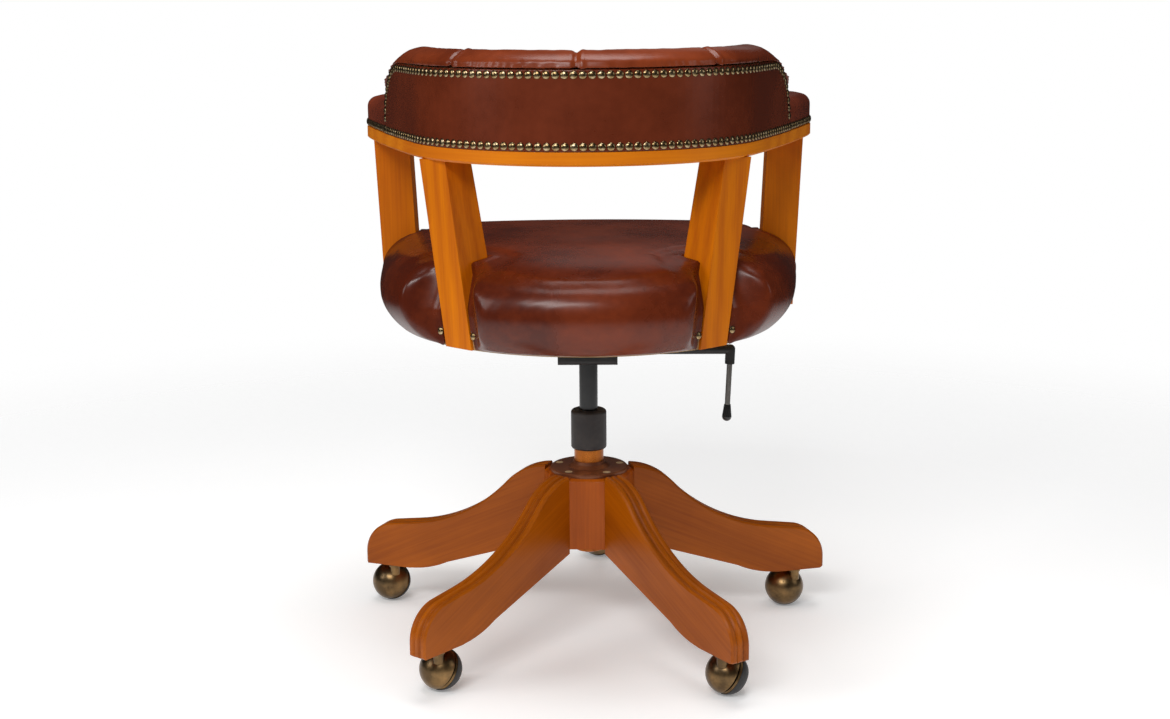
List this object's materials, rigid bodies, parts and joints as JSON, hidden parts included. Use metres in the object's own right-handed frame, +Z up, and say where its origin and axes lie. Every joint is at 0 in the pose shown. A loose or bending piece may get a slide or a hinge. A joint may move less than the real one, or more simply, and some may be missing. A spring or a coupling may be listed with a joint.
{
  "type": "bankers swivel chair",
  "caption": "Bankers desk chair: tub back and arms on splayed posts, round sprung seat, gas lift with tilt, five ogee legs on ball castors.",
  "frame": {"origin": "on the floor under the swivel axis, with all five castors on the floor", "axes": "+Z up along the swivel axis; the sitter faces -Y; +X is the sitter's left"},
  "size_m": [0.6321, 0.6163, 0.7741],
  "materials": {
    "honey_wood": "satin lacquer, honey coloured",
    "plain_wood": "bare",
    "brown_leather": "glossy red-brown hide",
    "aged_brass": "dark antique bronze",
    "black_rubber": "matt tread",
    "bare_steel": "bare steel",
    "bronze_paint": "bronze brown enamel",
    "black_paint": "satin black enamel",
    "black_plastic": "satin black plastic"
  },
  "bodies": {
    "base": {"base_hub": "honey_wood", "leg_1": "honey_wood", "leg_2": "honey_wood", "leg_3": "honey_wood", "leg_4": "honey_wood", "leg_5": "honey_wood", "base_flange": "bronze_paint", "flange_screws": "bare_steel", "leg_dowels": "plain_wood", "column_tube": "black_paint", "column_collar": "black_plastic", "guide_bush": "black_plastic", "thrust_bearing": "bare_steel", "castor_sockets": "bare_steel"},
    "castor_1": {"castor_1_hood": "aged_brass", "castor_1_axle": "bare_steel"},
    "castor_1_roller": {"castor_1_wheel": "aged_brass", "castor_1_tyre": "black_rubber"},
    "castor_2": {"castor_2_hood": "aged_brass", "castor_2_axle": "bare_steel"},
    "castor_2_roller": {"castor_2_wheel": "aged_brass", "castor_2_tyre": "black_rubber"},
    "castor_3": {"castor_3_hood": "aged_brass", "castor_3_axle": "bare_steel"},
    "castor_3_roller": {"castor_3_wheel": "aged_brass", "castor_3_tyre": "black_rubber"},
    "castor_4": {"castor_4_hood": "aged_brass", "castor_4_axle": "bare_steel"},
    "castor_4_roller": {"castor_4_wheel": "aged_brass", "castor_4_tyre": "black_rubber"},
    "castor_5": {"castor_5_hood": "aged_brass", "castor_5_axle": "bare_steel"},
    "castor_5_roller": {"castor_5_wheel": "aged_brass", "castor_5_tyre": "black_rubber"},
    "lift_rod": {"piston_rod": "bare_steel"},
    "lift": {"lift_tube": "black_paint", "tilt_housing": "black_paint", "pivot_pin": "bare_steel", "tilt_spring": "bare_steel"},
    "valve": {"valve_button": "black_plastic"},
    "lever": {"lever_shaft": "black_paint", "lever_rod": "bare_steel", "lever_knob": "black_plastic"},
    "seat": {"seat_plate": "black_paint", "seat_screws": "bare_steel", "seat_board": "plain_wood", "seat_cushion": "brown_leather", "upright_rear_left": "honey_wood", "upright_rear_right": "honey_wood", "upright_front_left": "honey_wood", "upright_front_right": "honey_wood", "upright_bolts": "bare_steel", "arm_rail": "honey_wood", "rail_screws": "bare_steel", "arm_pad_left": "brown_leather", "arm_pad_right": "brown_leather", "back_frame": "plain_wood", "back_panel": "brown_leather", "back_pad": "brown_leather"}
  },
  "joints": [
    {"name": "seat_swivel", "type": "hinge", "parent": "base", "child": "lift_rod", "pos_m": [0, 0, 0.118], "axis": [0, 0, 1], "continuous": true},
    {"name": "seat_height", "type": "slide", "parent": "lift_rod", "child": "lift", "axis": [0, 0, 1], "range_m": [-0.065, 0.035]},
    {"name": "seat_tilt", "type": "hinge", "parent": "lift", "child": "seat", "pos_m": [0, -0.045, 0.397], "axis": [-1, 0, 0], "range_deg": [0, 10], "stiffness_Nm_per_rad": 160, "springref_deg": -20.05, "deforming": ["tilt_spring"]},
    {"name": "lever_turn", "type": "hinge", "parent": "lift", "child": "lever", "pos_m": [0, 0.024, 0.386], "axis": [1, 0, 0], "range_deg": [0, 9], "stiffness_Nm_per_rad": 4, "springref_deg": -8.59},
    {"name": "valve_press", "type": "slide", "parent": "lift", "child": "valve", "axis": [0, 0, 1], "range_m": [-0.004, 0]},
    {"name": "castor_1_swivel", "type": "hinge", "parent": "base", "child": "castor_1", "pos_m": [-0.01172, -0.29176, 0.058], "axis": [0, 0, 1], "continuous": true},
    {"name": "castor_1_roll", "type": "hinge", "parent": "castor_1", "child": "castor_1_roller", "pos_m": [-0.00871, -0.30996, 0.0265], "axis": [0.5567, 0.6634, 0.5], "continuous": true},
    {"name": "castor_2_swivel", "type": "hinge", "parent": "base", "child": "castor_2", "pos_m": [0.27386, -0.10131, 0.058], "axis": [0, 0, 1], "continuous": true},
    {"name": "castor_2_roll", "type": "hinge", "parent": "castor_2", "child": "castor_2_roller", "pos_m": [0.28119, -0.11823, 0.0265], "axis": [0.3796, 0.7784, 0.5], "continuous": true},
    {"name": "castor_3_swivel", "type": "hinge", "parent": "base", "child": "castor_3", "pos_m": [0.18097, 0.22915, 0.058], "axis": [0, 0, 1], "continuous": true},
    {"name": "castor_3_roll", "type": "hinge", "parent": "castor_3", "child": "castor_3_roller", "pos_m": [0.18046, 0.21072, 0.0265], "axis": [0.673, 0.545, 0.5], "continuous": true},
    {"name": "castor_4_swivel", "type": "hinge", "parent": "base", "child": "castor_4", "pos_m": [-0.16201, 0.24293, 0.058], "axis": [0, 0, 1], "continuous": true},
    {"name": "castor_4_roll", "type": "hinge", "parent": "castor_4", "child": "castor_4_roller", "pos_m": [-0.1691, 0.22591, 0.0265], "axis": [0.8236, 0.2676, 0.5], "continuous": true},
    {"name": "castor_5_swivel", "type": "hinge", "parent": "base", "child": "castor_5", "pos_m": [-0.28111, -0.07902, 0.058], "axis": [0, 0, 1], "continuous": true},
    {"name": "castor_5_roll", "type": "hinge", "parent": "castor_5", "child": "castor_5_roller", "pos_m": [-0.26867, -0.09263, 0.0265], "axis": [0.1055, 0.8596, 0.5], "continuous": true}
  ],
  "couplings": [
    {"joint": "valve_press", "follows": "lever_turn", "m_per_rad": -0.025}
  ]
}
